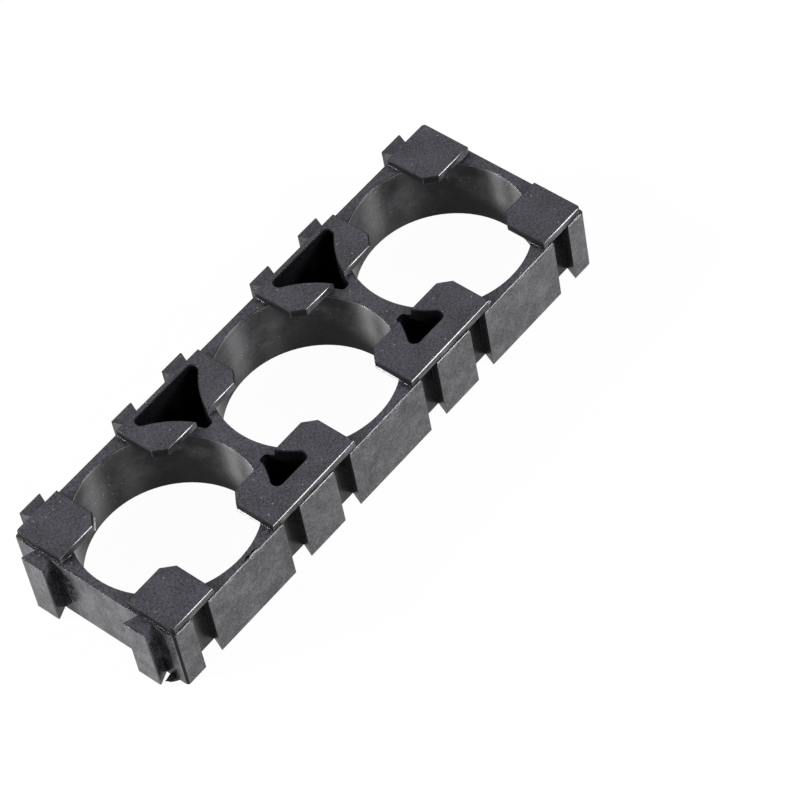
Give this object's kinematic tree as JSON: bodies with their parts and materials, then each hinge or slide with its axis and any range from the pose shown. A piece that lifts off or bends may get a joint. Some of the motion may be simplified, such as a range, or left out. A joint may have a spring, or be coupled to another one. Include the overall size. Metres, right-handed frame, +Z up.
{
  "type": "battery cell holder bracket",
  "caption": "Moulded plastic bracket that holds a row of round battery cells by one end, with stop tabs over the seats and dovetail ribs and grooves for joining more brackets.",
  "frame": {"origin": "on the middle seat's axis, at the underside", "axes": "+X along the row of seats, away from the ribbed end; +Y towards the ribbed long side; +Z up from the underside to the stop tabs"},
  "size_m": [0.0623, 0.0218, 0.0086],
  "materials": {
    "bracket_plastic": "moulded, fine satin grain"
  },
  "bodies": {
    "root": {"cell_holder_bracket": "bracket_plastic"}
  },
  "joints": []
}
